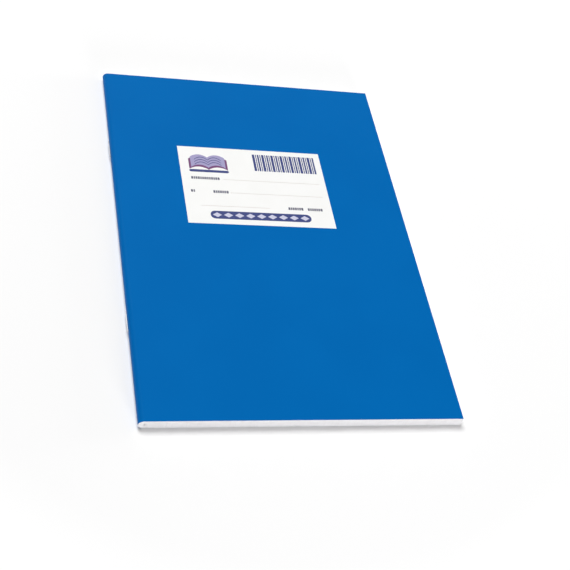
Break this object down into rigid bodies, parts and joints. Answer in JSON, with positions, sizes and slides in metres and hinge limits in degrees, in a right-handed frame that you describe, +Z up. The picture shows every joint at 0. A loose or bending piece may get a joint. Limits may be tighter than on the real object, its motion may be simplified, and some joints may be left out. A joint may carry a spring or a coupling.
{
  "type": "stapled exercise book",
  "caption": "Stapled exercise book with a blue card cover, a white name label and ruled pages that open on the fold; for writing school exercises in.",
  "frame": {"origin": "on the table, under the middle of the closed book's outline, staple crowns included", "axes": "+X from the spine to the fore edge, +Y from the tail to the head, +Z up out of the front cover"},
  "size_m": [0.1704, 0.25, 0.006],
  "materials": {
    "cover_card": "smooth coated card, satin",
    "ruled_paper": "uncoated writing paper with printed lines",
    "label_paper": "smooth white label paper, printed",
    "staple_wire": "galvanised wire"
  },
  "bodies": {
    "base": {"back_cover": "cover_card", "sheet_01_rear_leaf": "ruled_paper", "sheet_02_rear_leaf": "ruled_paper", "sheet_03_rear_leaf": "ruled_paper", "sheet_04_rear_leaf": "ruled_paper", "sheet_05_rear_leaf": "ruled_paper"},
    "spine": {"cover_spine": "cover_card", "sheet_folds": "ruled_paper", "head_staple": "staple_wire", "tail_staple": "staple_wire"},
    "rear_leaves_06_10": {"sheet_06_rear_leaf": "ruled_paper", "sheet_07_rear_leaf": "ruled_paper", "sheet_08_rear_leaf": "ruled_paper", "sheet_09_rear_leaf": "ruled_paper", "sheet_10_rear_leaf": "ruled_paper"},
    "rear_leaves_11_15": {"sheet_11_rear_leaf": "ruled_paper", "sheet_12_rear_leaf": "ruled_paper", "sheet_13_rear_leaf": "ruled_paper", "sheet_14_rear_leaf": "ruled_paper", "sheet_15_rear_leaf": "ruled_paper"},
    "rear_leaves_16_20": {"sheet_16_rear_leaf": "ruled_paper", "sheet_17_rear_leaf": "ruled_paper", "sheet_18_rear_leaf": "ruled_paper", "sheet_19_rear_leaf": "ruled_paper", "sheet_20_rear_leaf": "ruled_paper"},
    "rear_leaves_21_25": {"sheet_21_rear_leaf": "ruled_paper", "sheet_22_rear_leaf": "ruled_paper", "sheet_23_rear_leaf": "ruled_paper", "sheet_24_rear_leaf": "ruled_paper", "sheet_25_rear_leaf": "ruled_paper"},
    "front_leaves_01_05": {"sheet_01_front_leaf": "ruled_paper", "sheet_02_front_leaf": "ruled_paper", "sheet_03_front_leaf": "ruled_paper", "sheet_04_front_leaf": "ruled_paper", "sheet_05_front_leaf": "ruled_paper"},
    "front_leaves_06_10": {"sheet_06_front_leaf": "ruled_paper", "sheet_07_front_leaf": "ruled_paper", "sheet_08_front_leaf": "ruled_paper", "sheet_09_front_leaf": "ruled_paper", "sheet_10_front_leaf": "ruled_paper"},
    "front_leaves_11_15": {"sheet_11_front_leaf": "ruled_paper", "sheet_12_front_leaf": "ruled_paper", "sheet_13_front_leaf": "ruled_paper", "sheet_14_front_leaf": "ruled_paper", "sheet_15_front_leaf": "ruled_paper"},
    "front_leaves_16_20": {"sheet_16_front_leaf": "ruled_paper", "sheet_17_front_leaf": "ruled_paper", "sheet_18_front_leaf": "ruled_paper", "sheet_19_front_leaf": "ruled_paper", "sheet_20_front_leaf": "ruled_paper"},
    "front_leaves_21_25": {"sheet_21_front_leaf": "ruled_paper", "sheet_22_front_leaf": "ruled_paper", "sheet_23_front_leaf": "ruled_paper", "sheet_24_front_leaf": "ruled_paper", "sheet_25_front_leaf": "ruled_paper"},
    "front_flap": {"front_cover": "cover_card", "label": "label_paper"}
  },
  "joints": [
    {"name": "middle_opening", "type": "hinge", "parent": "base", "child": "front_leaves_01_05", "pos_m": [-0.08182, 0, 0.00293], "axis": [0, -1, 0], "range_deg": [0, 179.8], "deforming": ["cover_spine", "sheet_folds"]},
    {"name": "spine_turn", "type": "hinge", "parent": "base", "child": "spine", "pos_m": [-0.08182, 0, 0.00293], "axis": [0, -1, 0], "range_deg": [0, 90]},
    {"name": "front_leaves_06_10_spring", "type": "hinge", "parent": "front_leaves_01_05", "child": "front_leaves_06_10", "pos_m": [-0.08182, 0, 0.00293], "axis": [0, -1, 0], "range_deg": [-2.88, 0]},
    {"name": "rear_leaves_06_10_spring", "type": "hinge", "parent": "base", "child": "rear_leaves_06_10", "pos_m": [-0.08182, 0, 0.00293], "axis": [0, -1, 0], "range_deg": [0, 2.88]},
    {"name": "front_leaves_11_15_spring", "type": "hinge", "parent": "front_leaves_01_05", "child": "front_leaves_11_15", "pos_m": [-0.08182, 0, 0.00293], "axis": [0, -1, 0], "range_deg": [-5.76, 0]},
    {"name": "rear_leaves_11_15_spring", "type": "hinge", "parent": "base", "child": "rear_leaves_11_15", "pos_m": [-0.08182, 0, 0.00293], "axis": [0, -1, 0], "range_deg": [0, 5.76]},
    {"name": "front_leaves_16_20_spring", "type": "hinge", "parent": "front_leaves_01_05", "child": "front_leaves_16_20", "pos_m": [-0.08182, 0, 0.00293], "axis": [0, -1, 0], "range_deg": [-8.64, 0]},
    {"name": "rear_leaves_16_20_spring", "type": "hinge", "parent": "base", "child": "rear_leaves_16_20", "pos_m": [-0.08182, 0, 0.00293], "axis": [0, -1, 0], "range_deg": [0, 8.64]},
    {"name": "front_leaves_21_25_spring", "type": "hinge", "parent": "front_leaves_01_05", "child": "front_leaves_21_25", "pos_m": [-0.08182, 0, 0.00293], "axis": [0, -1, 0], "range_deg": [-11.52, 0]},
    {"name": "rear_leaves_21_25_spring", "type": "hinge", "parent": "base", "child": "rear_leaves_21_25", "pos_m": [-0.08182, 0, 0.00293], "axis": [0, -1, 0], "range_deg": [0, 11.52]},
    {"name": "cover_opening", "type": "hinge", "parent": "front_leaves_01_05", "child": "front_flap", "pos_m": [-0.08142, 0, 0.00615], "axis": [0, -1, 0], "range_deg": [0, 179.8]}
  ],
  "couplings": [
    {"joint": "spine_turn", "follows": "middle_opening", "ratio": 0.5},
    {"joint": "front_leaves_06_10_spring", "follows": "middle_opening", "ratio": -0.016},
    {"joint": "rear_leaves_06_10_spring", "follows": "middle_opening", "ratio": 0.016},
    {"joint": "front_leaves_11_15_spring", "follows": "middle_opening", "ratio": -0.032},
    {"joint": "rear_leaves_11_15_spring", "follows": "middle_opening", "ratio": 0.032},
    {"joint": "front_leaves_16_20_spring", "follows": "middle_opening", "ratio": -0.048},
    {"joint": "rear_leaves_16_20_spring", "follows": "middle_opening", "ratio": 0.048},
    {"joint": "front_leaves_21_25_spring", "follows": "middle_opening", "ratio": -0.064},
    {"joint": "rear_leaves_21_25_spring", "follows": "middle_opening", "ratio": 0.064}
  ]
}
